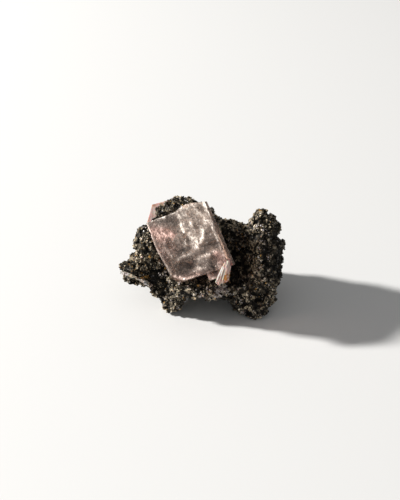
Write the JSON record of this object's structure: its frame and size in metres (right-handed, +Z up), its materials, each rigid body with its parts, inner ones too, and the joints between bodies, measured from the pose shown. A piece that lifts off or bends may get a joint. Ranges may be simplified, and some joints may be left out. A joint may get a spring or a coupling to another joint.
{
  "type": "calcite specimen",
  "caption": "Clear, faintly pink calcite rhomb with a splintered corner, grown into a dark, granular host rock that stands on low feet.",
  "frame": {"origin": "middle of the specimen's box, at the level of the surface that it stands on", "axes": "+Z up, +X along the longest side from the pale vein's ledge towards the tall pillar, -Y is the side that the large crystal face shows"},
  "size_m": [0.079, 0.0584, 0.0537],
  "materials": {
    "host_rock": "coarse granular, with small glossy facets",
    "calcite": "glossy cleavage faces, clear with white veils and a pink tint",
    "vein": "smooth, pale and slightly waxy, with an ochre stain"
  },
  "bodies": {
    "root": {"host_rock": "host_rock", "calcite_rhomb": "calcite", "calcite_rear": "calcite", "calcite_vein": "vein"}
  },
  "joints": []
}
